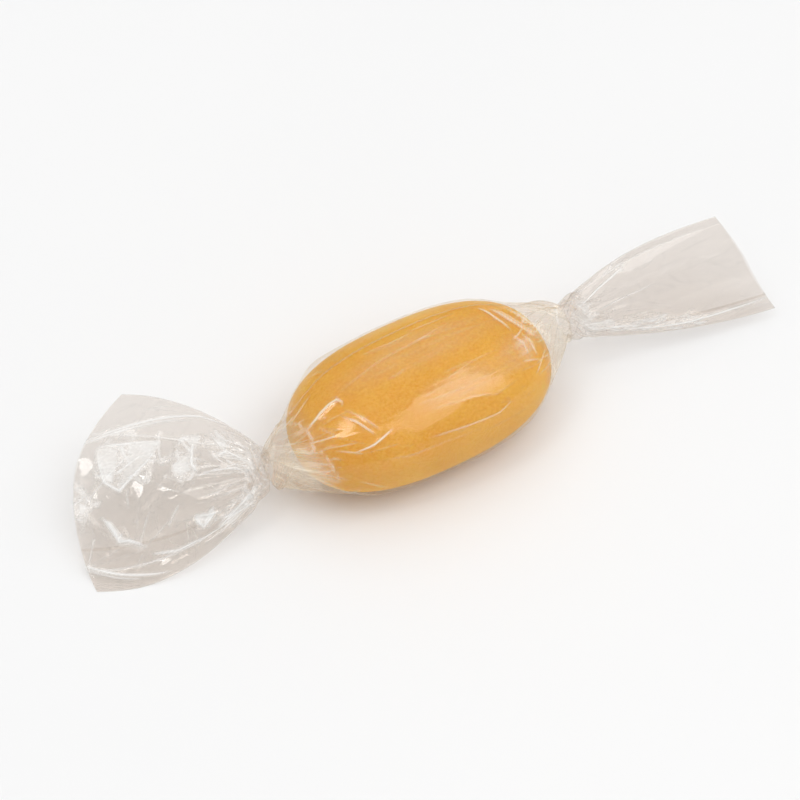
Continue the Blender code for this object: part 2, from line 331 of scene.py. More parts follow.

# What crumpling does: how white the painted glints on facets and how sharp creases may be, for a
# random choice, and the shares of each in the relief and in the whiteness. The glints stand for
# highlights of the lamps; the lines along creases are partly crease whitening, partly painted
# highlight.
PAINTED_GLINT_LEVELS = (0.2, 0.35, 0.6, 1)
LINE_LEVELS = (0, 0, 0.4, 1)
LINES_AT_REST = 0.4
CRINKLES_AT_REST = 0.08
LARGE_LINES = 0.4
MEDIUM_LINES = 0.7
# Painted glints on crumpled shards: a base whiteness, and more where they are streaky.
PAINTED_GLINT_BASE = 0.10
PAINTED_GLINT_STREAK = 0.30
STREAK_GAIN, STREAK_LOSS = 1.6, 0.3
CREST_WIDTH = 0.11 * MM
# Painted glints on the fans: their streaks, and how far they fade from their first corner.
PAINTED_GLINT_STREAKS = (14, 60, 1)
PAINTED_GLINT_FADE = 0.6
BEND = 0.12  # how far a random crease bends, as a share of its half length
# Bends of the sheet, in radians a millimetre: it starts to whiten at the first, and is nearly white
# after the second more. This white at bends is partly the film's own crease whitening and partly a
# painted highlight.
WHITENS_FROM = 0.8
WHITENS_OVER = 5.5
WHITENS_TO = 0.9
SHORTEST_STEP = 0.12  # millimetres between points, for that measure

CAMERA_ELEVATION = math.radians(55)
IMAGE_TILT = math.radians(24.5)  # of the sweet's axis in the photo
CAMERA_DISTANCE = 0.5
SENSOR_WIDTH = 36  # millimetres
VIEW_WIDTH = 0.08  # across the frame, at the sweet
SWEET_PIXEL = (419.3, 395.8)  # the sweet's middle in the photo
FRAME_PIXELS = 800

# Bearing and height in degrees, distance, width and height in metres, radiance, and whether the
# film mirrors it: a softbox beside the camera, lamps around, and an even fill.
LAMPS = {
    "side_box": (33, 60, 1.0, 0.66, 0.70, 1.3, True),
    "left_lamp": (-98, 69, 1.0, 0.24, 0.24, 4.5, True),
    "right_lamp": (75, 40, 1.0, 0.12, 0.12, 9, False),
    "back_lamp": (165, 50, 1.0, 0.12, 0.12, 4, False),
    "fill": (0, 88, 1.5, 2.0, 2.0, 0.80, False),
}


def smooth_step(x):
    """0 up to 0 and 1 from 1 on, with a smooth rise between."""
    x = np.clip(x, 0.0, 1.0)
    return x * x * (3 - 2 * x)


def signed_power(value, power):
    """The power of a value's size, with the value's sign."""
    return np.sign(value) * np.abs(value) ** power


def width_share(x, half_length):
    """The sweet's width at x, as a share of its greatest width."""
    return (1 - np.minimum(np.abs(x) / half_length, 1.0) ** OUTLINE_POWER) ** (1 / OUTLINE_POWER)


def crease(u, v, half_width, height, points):
    """A crease along a line of points: its relief, a ridge fading at its ends, and its crest line.
    """
    lengths = [math.dist(a, b) for a, b in zip(points, points[1:])]
    nearest = np.full(np.broadcast(u, v).shape, np.inf)
    along = np.zeros(nearest.shape)
    passed = 0.0
    for (au, av), (bu, bv), length in zip(points, points[1:], lengths):
        du, dv = bu - au, bv - av
        place = np.clip(((u - au) * du + (v - av) * dv) / length**2, 0, 1)
        off = np.hypot(u - au - place * du, v - av - place * dv)
        closer = off < nearest
        nearest = np.where(closer, off, nearest)
        along = np.where(closer, (passed + place * length) / sum(lengths), along)
        passed += length
    strength = 1 - np.abs(2 * along - 1) ** 3
    relief = height * strength * np.exp(-2 * nearest / half_width) * (1 + 2 * nearest / half_width)
    return relief, strength * np.exp(-((nearest / CREST_WIDTH) ** 2))


def random_creases(draw, count, u_range, v_range, heading, spread, length, half_width, height):
    """Seeded creases, nearly straight, even over a region, with sizes drawn between two limits."""
    creases = []
    for _ in range(count):
        mid_u, mid_v = draw.uniform(*u_range), draw.uniform(*v_range)
        direction = heading + draw.uniform(-spread, spread)
        reach = draw.uniform(*length) / 2
        bend = draw.uniform(-BEND, BEND) * reach
        du, dv = math.cos(direction), math.sin(direction)
        points = (
            (mid_u - du * reach, mid_v - dv * reach),
            (mid_u - dv * bend, mid_v + du * bend),
            (mid_u + du * reach, mid_v + dv * reach),
        )
        creases.append((half_width, draw.choice((-1, 1, 1)) * draw.uniform(*height), points))
    return creases


def mosaic(draw, u, v, columns, rows):
    """Flat facets over a region in which u and v run from 0 to 1, as in crumpled film.

    One corner of the facets lies in each cell of a grid of columns by rows, at a random place and a
    random height from -1 to 1. Gives the height at each (u, v) and its facet there, and all the
    corners and facets.
    """
    cells = [(i, j) for i in range(-1, columns + 1) for j in range(-1, rows + 1)]
    inset = 0.02
    jitter = [
        (draw.uniform(inset, 1 - inset), draw.uniform(inset, 1 - inset), draw.uniform(-1, 1))
        for _ in cells
    ]
    flat = [Vector((i + a, j + b)) for (i, j), (a, b, _) in zip(cells, jitter)]
    places, _, triangles, origins, _, _ = delaunay_2d_cdt(flat, [], [], 0, 1e-6)
    corners = [(p.x, p.y, jitter[origin[0]][2]) for p, origin in zip(places, origins)]
    tree = BVHTree.FromPolygons(corners, triangles)
    u, v = np.broadcast_arrays(u, v)
    heights, facet = np.zeros(u.size), np.zeros(u.size, int)
    above, down = 3, Vector((0, 0, -1))
    for i, (x, y) in enumerate(zip((u * columns).ravel().tolist(), (v * rows).ravel().tolist())):
        place, _, facet[i], _ = tree.ray_cast(Vector((x, y, above)), down)
        if place is None:
            place, _, facet[i], _ = tree.find_nearest(Vector((x, y, 0)))
        heights[i] = place.z
    return heights.reshape(u.shape), facet.reshape(u.shape), np.array(corners), np.array(triangles)


def facets(draw, u, v, columns, rows, height):
    """Relief of flat facets with straight creases between them."""
    return mosaic(draw, u, v, columns, rows)[0] * height


def shards(draw, u, v, columns, rows, height, patches, line_width):
    """Facets. Those with their middle in a patch are crumpled, and some of those get a painted
    glint.

    A patch is an ellipse, given by its middle and its half sizes. Gives the relief, which facets
    are crumpled, how white their painted glints are, and the lines of some creases, stronger where
    they are sharper.
    """
    heights, facet, corners, triangles = mosaic(draw, u, v, columns, rows)
    sides = corners[triangles]
    middles = sides[:, :, :2].mean(axis=1) / (columns, rows)
    crumpled = np.zeros(len(triangles))
    for mid_u, mid_v, half_u, half_v in patches:
        off = np.hypot((middles[:, 0] - mid_u) / half_u, (middles[:, 1] - mid_v) / half_v)
        crumpled[off < 1] = 1
    white = crumpled * [draw.choice(PAINTED_GLINT_LEVELS) for _ in triangles]

    normals = np.cross(sides[:, 1] - sides[:, 0], sides[:, 2] - sides[:, 0])
    normals /= np.linalg.norm(normals, axis=-1, keepdims=True)
    neighbours = {}
    for index, triangle in enumerate(triangles.tolist()):
        for side in range(3):
            edge = tuple(sorted((triangle[side], triangle[(side + 1) % 3])))
            neighbours.setdefault(edge, []).append((index, side))
    sharpness = np.zeros(triangles.shape)
    for edge in sorted(neighbours):
        chosen = draw.choice(LINE_LEVELS)
        if len(neighbours[edge]) == 2:
            (a, side_a), (b, side_b) = neighbours[edge]
            bend = min(1.0, float(np.linalg.norm(normals[a] - normals[b])))
            share = LINES_AT_REST + (1 - LINES_AT_REST) * crumpled[a]
            sharpness[a, side_a] = sharpness[b, side_b] = chosen * bend * share
    lines = np.zeros(facet.shape)
    for side in range(3):
        start = corners[triangles[facet, side], :2]
        ahead = corners[triangles[facet, (side + 1) % 3], :2] - start
        to_x, to_y = u * columns - start[..., 0], v * rows - start[..., 1]
        off = np.abs(ahead[..., 0] * to_y - ahead[..., 1] * to_x) / np.linalg.norm(ahead, axis=-1)
        lines = np.maximum(lines, sharpness[facet, side] * np.exp(-((off / line_width) ** 2)))
    return heights * height, crumpled[facet], white[facet], lines


def soften(field):
    """A field on the sheet's grid, averaged with its neighbours."""
    rows, columns = field.shape
    wide = np.pad(field, 1, mode="edge")
    return sum(wide[i : i + rows, j : j + columns] for i in range(3) for j in range(3)) / 9


def crumple(draw, u, v, coarse, fine, patches, line_widths, at_rest):
    """Coarse facets everywhere, with shards and fine crinkles mostly in the patches.

    Outside the patches the finer relief and the lines have their share at rest. Gives the relief,
    and how white the film is: painted glints on shards, and lines along creases that are partly
    crease whitening and partly painted highlight.
    """
    large, medium, small = coarse
    large_relief, _, _, large_lines = shards(draw, u, v, *large, (), line_widths[0])
    medium_relief, crumpled, white, lines = shards(draw, u, v, *medium, patches, line_widths[1])
    strength = soften(crumpled)
    here = at_rest + (1 - at_rest) * strength
    crinkles = [facets(draw, u, v, *count) for count in fine]
    streaks = np.clip(np.abs(crinkles[1]) / fine[1][2] * STREAK_GAIN - STREAK_LOSS, 0, 1)
    relief = large_relief + medium_relief * here + facets(draw, u, v, *small)
    relief = relief + (CRINKLES_AT_REST + (1 - CRINKLES_AT_REST) * strength) * sum(crinkles)
    lines = LARGE_LINES * at_rest * large_lines + MEDIUM_LINES * lines * here
    return relief, soften(white) * (PAINTED_GLINT_BASE + PAINTED_GLINT_STREAK * streaks) + lines


def painted_glint_facet(u, v, corners):
    """A painted glint on a polygon of (u, v) corners: 1 at its first corner, less away from it, and
    0 outside.
    """
    crossings = np.zeros(np.broadcast(u, v).shape, int)
    for (au, av), (bu, bv) in zip(corners, corners[1:] + corners[:1]):
        if av != bv:
            level = (av > v) != (bv > v)
            crossings = crossings + (level & (u < au + (v - av) * (bu - au) / (bv - av)))
    away = np.hypot(u - corners[0][0], v - corners[0][1])
    furthest = max(math.dist(corners[0], corner) for corner in corners)
    return crossings % 2 * (1 - PAINTED_GLINT_FADE * away / furthest)


def sharp_wave(phase):
    """A wave with rounded valleys and sharp crests, from -1 to 1."""
    return 1 - 2 * np.abs(np.sin(phase / 2)) ** 0.8


def under_lap(wrap):
    """How far the sheet's inner end, at wrap beyond a full turn, has gone under its start."""
    return smooth_step((wrap - (FULL_TURN - LAP_EASE)) / LAP_EASE)


def angle_of(wrap):
    """The angle round the sweet, from +Y over the top, at a way along the rolled sheet."""
    return LAP_ANGLE - wrap


def fan_axes(fan):
    """Unit vectors outwards along a fan, across it to its upper side, and out of its front."""
    yaw, lean = fan["yaw"], fan["lean"]
    outwards = np.array((math.cos(yaw), math.sin(yaw), 0))
    level_across = np.array((-math.sin(yaw), math.cos(yaw), 0)) * fan["side"]
    across = level_across * math.cos(lean) + np.array((0, 0, math.sin(lean)))
    front = np.array((0, 0, math.cos(lean))) - level_across * math.sin(lean)
    return outwards, across, front


def upper_corner_angle(fan):
    """The angle round the sweet that a fan's upper side points to."""
    _, across, _ = fan_axes(fan)
    return math.atan2(across[2], across[1])


def flutes(angle):
    """The twist's pleats, as a share of their depth."""
    round_count, round_share = ROUND_FLUTES
    total = round_share * np.cos(round_count * angle)
    for count, phase, share in SHARP_FLUTES:
        total = total + share * sharp_wave(count * angle + phase)
    return total


def painted_sheen_veils(x, angle, streaks):
    """How white the painted sheen on the body is, a little streaky."""
    streaky = 0.6 + 0.4 * np.clip(0.9 + streaks / BODY_STREAKS[2], 0, 2)
    white = 0.0
    for mid_x, mid_angle, half_x, half_angle, whiteness in PAINTED_SHEEN_VEILS:
        off_angle = (np.degrees(angle) - mid_angle + 180) % 360 - 180
        off = np.hypot((x / MM - mid_x) / half_x, off_angle / half_angle)
        white = white + whiteness * smooth_step((1 - off) / SHEEN_VEIL_EDGE) * streaky
    return white


def body_creases(draw):
    """The placed and the random creases of the body, over x and the way round at half the width."""
    girth = SWEET_WIDTH / 2
    creases = [
        (
            half_width * MM,
            height * MM,
            [(place * MM, math.radians(degrees) * girth) for place, degrees in points],
        )
        for half_width, height, *points in BODY_CREASES
    ]
    around = (0, FULL_TURN * girth)
    for count, along, heading, spread, length, height in BODY_RANDOM_CREASES:
        creases += random_creases(
            draw, count, along, around, heading, spread, length, BODY_RANDOM_HALF_WIDTH, height
        )
    return creases


def body_crumples(draw, x, angle, round_share, along_cone, to_twist, towards_end):
    """The body's relief off its smooth form, and how white it is.

    along_cone, to_twist and towards_end run from 0 to 1 at the twist, each in its own way.
    """
    long = 2 * abs(LEFT_FAN["twist_centre"][0])
    full = FULL_TURN + RIGHT_FAN["lap"]
    patches = [
        (
            (mid_x * MM / long) + 0.5,
            (LAP_ANGLE - math.radians(mid_angle)) % FULL_TURN / full,
            half_x * MM / long,
            math.radians(half_angle) / full,
        )
        for mid_x, mid_angle, half_x, half_angle in BODY_PATCHES
    ]
    place = (x / long + 0.5, round_share)
    relief, white = crumple(draw, *place, BODY_FACETS, BODY_CRINKLES, patches, BODY_LINE_WIDTHS, 0)
    cone = sum(facets(draw, *place, *one) for one in CONE_FACETS)
    streaks = facets(draw, *place, *BODY_STREAKS)
    relief = (relief + streaks) * (1 - towards_end)
    relief = relief + cone * smooth_step(along_cone * 1.3) * (1 - 0.5 * to_twist)

    turned = angle % FULL_TURN * SWEET_WIDTH / 2
    for half_width, height, points in body_creases(draw):
        ridge, crest = crease(x, turned, half_width, height, points)
        relief = relief + ridge
        narrow = min(1, (BODY_WHITE_HALF_WIDTH / half_width) ** 2)
        white = np.maximum(white, crest * abs(height) / BODY_WHITE_HEIGHT * narrow)
    haze = smooth_step((along_cone - CONE_HAZE_FROM) / CONE_HAZE_OVER)
    # the cones' haze, and the painted sheen over the sweet
    return relief, white + CONE_HAZE * haze + painted_sheen_veils(x, angle, streaks)


def body_points(draw, share, round_share):
    """The film between the twists: its points, how white it is, and how much of that shows.

    share runs from -1 at the left twist to 1 at the right.
    """
    share, round_share = share[:, None], round_share[None, :]
    lap = (LEFT_FAN["lap"] * (1 - share) + RIGHT_FAN["lap"] * (1 + share)) / 2
    wrap = round_share * (FULL_TURN + lap)
    angle = angle_of(wrap)
    end_x, end_y, end_z = [
        np.where(share < 0, left, right)
        for left, right in zip(LEFT_FAN["twist_centre"], RIGHT_FAN["twist_centre"])
    ]
    x = np.abs(share) * end_x
    towards_end = smooth_step((np.abs(share) - PLEATS_START) / (1 - PLEATS_START))
    centre_y = end_y * towards_end
    centre_z = SWEET_CENTRE_Z + end_z * towards_end

    half_length = SWEET_LENGTH / 2 + FILM_GAP
    leaves_at = LEAVES_SWEET_AT * half_length
    along_cone = np.maximum(0.0, (np.abs(x) - leaves_at) / (np.abs(end_x) - leaves_at))
    to_twist = along_cone**CONE_FULLNESS
    hug = width_share(np.minimum(np.abs(x), leaves_at), half_length)
    half_width, half_height = [
        (size / 2 + FILM_GAP) * hug * (1 - to_twist) + TWIST_RADIUS * to_twist
        for size in (SWEET_WIDTH, SWEET_THICKNESS)
    ]
    power = SECTION_POWER + (2 - SECTION_POWER) * to_twist
    turn = np.sign(share) * TWIST_TURN / 2 * to_twist**TWIST_LATE
    y = half_width * signed_power(np.cos(angle + turn), 2 / power)
    z = half_height * signed_power(np.sin(angle + turn), 2 / power)
    radius = np.hypot(y, z)
    pleat = towards_end * FLUTE_DEPTH * TWIST_RADIUS * flutes(angle)

    ways_out = (along_cone, to_twist, towards_end)
    relief, white = body_crumples(draw, x, angle, round_share, *ways_out)
    free = smooth_step((along_cone - FREE_FROM) / FREE_OVER)
    relief = np.where(relief < 0, relief * (DIP_ON_SWEET + (1 - DIP_ON_SWEET) * free), relief)
    relief = np.maximum(relief, -DEEPEST_ON_SWEET - DEEPER_WHERE_FREE * free)
    under = under_lap(wrap)
    relief = relief * (1 - UNDER_LAP_CALM * under)
    scale = (radius + pleat + relief - LAP_DROP * under) / radius
    z = np.maximum(centre_z + z * scale, 0)
    points = np.stack([x + 0 * y, centre_y + y * scale, z], axis=-1)
    return points, white, 1 - CONE_DULLING * along_cone


def puff_at(fan, t, lift, share):
    """How far a side of the fan swells out, at t across it and share of the way out."""
    flap = np.where(t > 0, fan["upper_flap"], fan["lower_flap"])
    fullness = np.maximum(0.0, 1 - (np.abs(t) / (1 - flap)) ** 3)
    rising = smooth_step(share / fan["puff_peak"])
    falling = smooth_step((share - fan["puff_peak"]) / (1 - fan["puff_peak"]))
    swelling = np.where(share < fan["puff_peak"], rising, 1 - (1 - fan["mouth_share"]) * falling)
    return np.where(lift > 0, fan["front_puff"], -fan["back_puff"]) * fullness * swelling


def pleat_at(fan, t, share):
    """The waves that run out from the twist over both sides of the fan."""
    total = 0.0
    for count, depth, phase, dies_at in fan["pleats"]:
        strength = smooth_step(share / PLEATED_BY) * np.maximum(0.0, 1 - share / dies_at)
        total = total + depth * strength * np.cos(math.pi * count * t + phase)
    return total


def fan_columns(fan, count):
    """The ways along the sheet of a fan's columns, gathered on its front and away from its folds."""
    wrap = np.linspace(0, FULL_TURN + fan["lap"], count)
    turn = LAP_ANGLE + fan["side"] * TWIST_TURN - upper_corner_angle(fan)
    return wrap - AWAY_FROM_FOLDS * np.sin(2 * (turn - wrap)) - ON_THE_FRONT * np.cos(turn - wrap)


def fan_form(fan, share, angle):
    """The smooth form of a fan: the way out, across and out of its plane, and t and lift.

    t runs from -1 on the lower side to 1 on the upper, and lift is above 0 on the front.
    """
    turned = fan["side"] * TWIST_TURN * (0.5 + 0.5 * smooth_step(share / TWIST_SPAN))
    round_angle = angle + turned - upper_corner_angle(fan)
    t, lift = np.cos(round_angle), np.sin(round_angle)
    opening = smooth_step(share / OPEN_BY)
    fading = 1 - smooth_step(share / fan["fluted_to"])
    fluting = FLUTE_DEPTH * TWIST_RADIUS * fading * (1 + share) * flutes(angle)
    middle = (fan["upper_corner"] + fan["lower_corner"]) / 2
    half = (fan["upper_corner"] - fan["lower_corner"]) / 2
    radius = TWIST_RADIUS + fluting
    flare = fan["upper_flare"] * (1 + t) / 2 + fan["lower_flare"] * (1 - t) / 2
    spread = 1 - (1 - share) ** flare
    cutback = np.where(t > 0, fan["upper_cutback"], fan["lower_cutback"])
    outward = (fan["reach"] - cutback * np.abs(t) ** fan["cutback_power"]) * share
    to_side = radius * t * (1 - spread) + (middle + half * t) * spread

    flat = signed_power(lift, 0.5) * FLAP_HALF_THICKNESS
    rise = radius * lift * (1 - opening) + opening * (flat + puff_at(fan, t, lift, share))
    rise = rise + pleat_at(fan, t, share) * opening
    rise = rise + fluting * FLUTES_ON_SIDES * np.sign(lift) * opening
    return outward, to_side, rise, t, lift


def fan_crumples(draw, fan, share, t, lift):
    """The relief of a fan's front and back off the smooth form, and how white they are."""
    patches = [(u, (v + 1) / 2, half_u, half_v / 2) for u, v, half_u, half_v in fan["patches"]]
    place = (share + 0 * t, (t + 1) / 2)
    (front_relief, white), (back_relief, back_white) = [
        crumple(
            draw, *place, fan["facets"], fan["crinkles"], patches, FAN_LINE_WIDTHS, FAN_AT_REST
        )
        for _ in range(2)
    ]
    reach, half = fan["reach"], (fan["upper_corner"] - fan["lower_corner"]) / 2
    creases = [
        (half_width * MM, height * MM, [(u * reach, v * half) for u, v in points])
        for half_width, height, *points in fan["creases"]
    ]
    along = [limit * reach for limit in RANDOM_ALONG]
    across = [limit * half for limit in RANDOM_ACROSS]
    sizes = (FAN_RANDOM_LENGTH, FAN_RANDOM_HALF_WIDTH, FAN_RANDOM_HEIGHT)
    creases += random_creases(draw, fan["random_creases"], along, across, 0, math.pi, *sizes)
    for half_width, height, points in creases:
        ridge, crest = crease(share * reach, t * half, half_width, height, points)
        front_relief = front_relief + ridge
        white = np.maximum(white, crest * abs(height) / FAN_WHITE_HEIGHT)
    # Painted glints: white facets on the fan that stand for highlights of the lamps.
    streaky = 0.8 + 0.4 * np.abs(facets(draw, *place, *PAINTED_GLINT_STREAKS))
    for whiteness, *corners in fan["painted_glints"]:
        painted_glint = soften(painted_glint_facet(place[0], t + 0 * share, corners))
        white = np.maximum(white, whiteness * painted_glint * streaky)
    relief = np.where(lift > 0, front_relief, back_relief)
    return relief, np.where(lift > 0, white, BACK_WHITENESS * back_white)


def fan_points(draw, fan, share, wrap):
    """The film in a fan: its points, how white it is, and how much of that shows.

    share runs from 0 at the twist to 1 at the cut edge.
    """
    share, wrap = share[:, None], wrap[None, :]
    outward, to_side, rise, t, lift = fan_form(fan, share, angle_of(wrap))
    relief, white = fan_crumples(draw, fan, share, t, lift)
    flap = np.where(t > 0, fan["upper_flap"], fan["lower_flap"])
    on_flap = smooth_step((np.abs(t) - (1 - flap)) / FLAP_EASE)
    grown = relief * smooth_step(share / CRUMPLED_BY)
    rise = rise + grown * np.abs(lift) ** FOLD_CALM * (1 - FLAP_CALM * on_flap)
    rise = rise - LAP_DROP * under_lap(wrap) * np.sign(lift)
    outwards, across, front = fan_axes(fan)
    points = (
        np.array((0, 0, SWEET_CENTRE_Z))
        + np.array(fan["twist_centre"])
        + outwards * outward[..., None]
        + across * to_side[..., None]
        + front * rise[..., None]
    )
    points[..., 2] = np.maximum(points[..., 2], LEAST_HEIGHT)
    return points, white, WHITE_AT_TWIST + (1 - WHITE_AT_TWIST) * smooth_step(share / WHITE_BY)


def fold_sharpness(grid):
    """How sharply the sheet bends at each of its points, in radians a millimetre."""
    rows, columns, _ = grid.shape
    along, across = np.diff(grid, axis=0), np.diff(grid, axis=1)
    normals = np.cross(along[:, :-1], across[:-1])
    normals /= np.linalg.norm(normals, axis=-1, keepdims=True) + 1e-15
    wide = np.pad(normals, ((1, 1), (1, 1), (0, 0)), mode="edge")
    bend = np.zeros((rows, columns))
    for axis, steps in ((0, along), (1, across)):
        lengths = np.linalg.norm(steps, axis=-1)
        missing = ((0, rows - lengths.shape[0]), (0, columns - lengths.shape[1]))
        lengths = np.pad(lengths, missing, mode="edge")
        turn = np.linalg.norm(np.diff(wide, axis=axis), axis=-1)[:rows, :columns]
        bend += turn / np.maximum(lengths / MM, SHORTEST_STEP)
    return bend


def sheet_object(name, film, grid, white, clarity, flip=False):
    """A grid of points as a smooth open sheet, thickened into film.

    It whitens where it bends, partly as crease whitening and partly as a painted highlight, and
    where it is said to be white, which holds painted glints and painted sheen, as much as its
    clarity says.
    """
    rows, columns, _ = grid.shape
    index = np.arange(rows * columns).reshape(rows, columns)
    faces = np.stack([index[:-1, :-1], index[1:, :-1], index[1:, 1:], index[:-1, 1:]], axis=-1)
    if flip:
        faces = faces[..., ::-1]
    mesh = bpy.data.meshes.new(name)
    mesh.from_pydata(grid.reshape(-1, 3).tolist(), [], faces.reshape(-1, 4).tolist())
    mesh.shade_smooth()
    mesh.materials.append(film)
    bent = np.clip((fold_sharpness(grid) - WHITENS_FROM) / WHITENS_OVER, 0, 1) * WHITENS_TO
    crease_white_and_painted_sheen = mesh.attributes.new("crease_white_and_painted_sheen", "FLOAT", "POINT")
    crease_white_and_painted_sheen.data.foreach_set("value", ((bent + white) * clarity).astype(np.float32).ravel())
    obj = bpy.data.objects.new(name, mesh)
    bpy.context.scene.collection.objects.link(obj)
    wall = obj.modifiers.new("film thickness", "SOLIDIFY")
    wall.thickness = FILM_THICKNESS
    wall.offset = -1
    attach(obj, "root")
    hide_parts("wrapper")


def add_node(tree, kind, values=None):
    """A new node. Each value goes to an input: another node's output is linked, the rest is set."""
    node = tree.nodes.new(kind)
    for key, value in (values or {}).items():
        if isinstance(value, bpy.types.NodeSocket):
            tree.links.new(value, node.inputs[key])
        else:
            node.inputs[key].default_value = value
    return node


def noise(tree, scale, detail):
    """Noise in the object's own space."""
    place = add_node(tree, "ShaderNodeTexCoord").outputs["Object"]
    values = {"Vector": place, "Scale": scale, "Detail": detail}
    return add_node(tree, "ShaderNodeTexNoise", values).outputs["Fac"]


def bump(tree, height, strength, distance):
    """A normal, roughened by a height."""
    values = {"Height": height, "Strength": strength, "Distance": distance}
    return add_node(tree, "ShaderNodeBump", values).outputs["Normal"]


def remap(tree, value, low, high, from_max=1.0):
    """A value between 0 and from_max, brought between low and high."""
    values = {"Value": value, "From Max": from_max, "To Min": low, "To Max": high}
    return add_node(tree, "ShaderNodeMapRange", values).outputs["Result"]


def ramp(tree, factor, *stops):
    """A colour between two stops, each a position and a colour."""
    node = add_node(tree, "ShaderNodeValToRGB", {"Fac": factor})
    for element, (position, colour) in zip(node.color_ramp.elements, stops):
        element.position = position
        element.color = (*colour, 1)
    return node.outputs["Color"]


def new_material(name):
    """A material with an empty node tree, and that tree."""
    made = bpy.data.materials.new(name)
    made.use_nodes = True
    made.node_tree.nodes.clear()
    return made, made.node_tree


def film_material(name, tint, whitened_colour, roughness, slant_power):
    """Clear film: it tints what is behind it, mirrors more at a slant, and whitens by its attribute:
    at folds, partly as crease whitening and partly as painted highlight, and with painted glints and
    sheen.
    """
    made, tree = new_material(name)
    normal = bump(tree, noise(tree, 1400, 3), 0.12, 0.05 * MM)
    crease_white_and_painted_sheen = add_node(tree, "ShaderNodeAttribute")
    crease_white_and_painted_sheen.attribute_name = "crease_white_and_painted_sheen"
    whitened = remap(tree, crease_white_and_painted_sheen.outputs["Fac"], 0.0, 0.825, from_max=1.5)

    clear = add_node(tree, "ShaderNodeBsdfTransparent", {"Color": tint})
    gloss = add_node(
        tree,
        "ShaderNodeBsdfPrincipled",
        {
            "Base Color": whitened_colour,
            "Metallic": remap(tree, whitened, 0.85, 0.0, from_max=0.2),
            "Roughness": remap(tree, noise(tree, 260, 4), *roughness),
            "Normal": normal,
        },
    )
    slant = add_node(tree, "ShaderNodeLayerWeight", {"Blend": 0.5, "Normal": normal})
    steep = add_node(tree, "ShaderNodeMath", {0: slant.outputs["Facing"], 1: slant_power})
    steep.operation = "POWER"
    mirror = remap(tree, steep.outputs[0], 0.042, 0.8)
    seen = add_node(tree, "ShaderNodeMath", {0: mirror, 1: whitened})
    seen.operation = "ADD"
    seen.use_clamp = True
    layers = {0: seen.outputs[0], 1: clear.outputs[0], 2: gloss.outputs[0]}
    mix = add_node(tree, "ShaderNodeMixShader", layers)
    add_node(tree, "ShaderNodeOutputMaterial", {"Surface": mix.outputs[0]})
    return made


def caramel_material():
    """Boiled sugar: amber, glowing a little inside, with soft clouds and a fine grain."""
    made, tree = new_material("caramel_fine")
    clouds_and_grain = {"Factor": 0.6, "A": noise(tree, 130, 5), "B": noise(tree, 4200, 2)}
    blend = add_node(tree, "ShaderNodeMix", clouds_and_grain).outputs["Result"]
    darker, paler = (0.38, (0.78, 0.370, 0.022)), (0.62, (0.87, 0.490, 0.064))
    shader = add_node(
        tree,
        "ShaderNodeBsdfPrincipled",
        {
            "Base Color": ramp(tree, blend, darker, paler),
            "Normal": bump(tree, noise(tree, 900, 4), 0.25, 0.06 * MM),
            "Roughness": 0.5,
            "Specular IOR Level": 0.2,
            "Subsurface Weight": 0.7,
            "Subsurface Radius": (1.0, 0.45, 0.10),
            "Subsurface Scale": 3.0 * MM,
        },
    )
    add_node(tree, "ShaderNodeOutputMaterial", {"Surface": shader.outputs[0]})
    return made


def make_sweet():
    """The pillow, as a finely cut sphere moved out to its rounded form."""
    bpy.ops.mesh.primitive_uv_sphere_add(segments=SWEET_SEGMENTS, ring_count=SWEET_RINGS, radius=1)
    sweet = bpy.context.object
    sweet.name = sweet.data.name = "sweet_fine"
    mesh = sweet.data
    unit = np.zeros(len(mesh.vertices) * 3)
    mesh.vertices.foreach_get("co", unit)
    unit = unit.reshape(-1, 3)
    turn = np.arctan2(unit[:, 1], unit[:, 0])
    x = np.sin(unit[:, 2] * math.pi / 2) * SWEET_LENGTH / 2
    share = width_share(x, SWEET_LENGTH / 2)
    y = (SWEET_WIDTH / 2 + SWEET_SWELL) * share * signed_power(np.cos(turn), 2 / SECTION_POWER)
    z = (SWEET_THICKNESS / 2 + SWEET_SWELL) * share * signed_power(np.sin(turn), 2 / SECTION_POWER)
    mesh.vertices.foreach_set("co", np.stack([x, y, z], axis=1).astype(np.float32).ravel())
    mesh.update()
    mesh.shade_smooth()
    mesh.materials.append(caramel_material())
    sweet.location = (0, 0, SWEET_CENTRE_Z)
    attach(sweet, "root")
    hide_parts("sweet")


def make_film():
    """The rolled film, in one piece on the sweet and one for each fan."""
    draw = random.Random(11)
    snug = film_material(
        "clear_film_on_sweet",
        tint=(0.985, 0.978, 0.970, 1),
        # its warm white is also the colour of the painted glints and painted sheen over the sweet
        whitened_colour=(0.97, 0.895, 0.75, 1),
        roughness=(0.10, 0.22),
        slant_power=9,
    )
    around = np.linspace(0, 1, BODY_COLUMNS)
    swing = np.sin(FULL_TURN * (around - CROWDED_SIDE)) + math.sin(FULL_TURN * CROWDED_SIDE)
    around = around - CROWDING * swing
    along = np.linspace(-1, 1, BODY_ROWS)
    along = along + CROWDING * np.sin(FULL_TURN * along)
    sheet_object("film_body", snug, *body_points(draw, along, around))
    for name, fan in (("left", LEFT_FAN), ("right", RIGHT_FAN)):
        loose = film_material(
            "clear_film_" + name,
            tint=fan["tint"],
            whitened_colour=(0.95, 0.945, 0.93, 1),
            roughness=(0.03, 0.12),
            slant_power=6,
        )
        share = np.linspace(0, 1, FAN_ROWS) ** FAN_ROW_POWER
        sheet = fan_points(draw, fan, share, fan_columns(fan, FAN_COLUMNS))
        sheet_object("film_" + name + "_fan", loose, *sheet, flip=fan["side"] < 0)


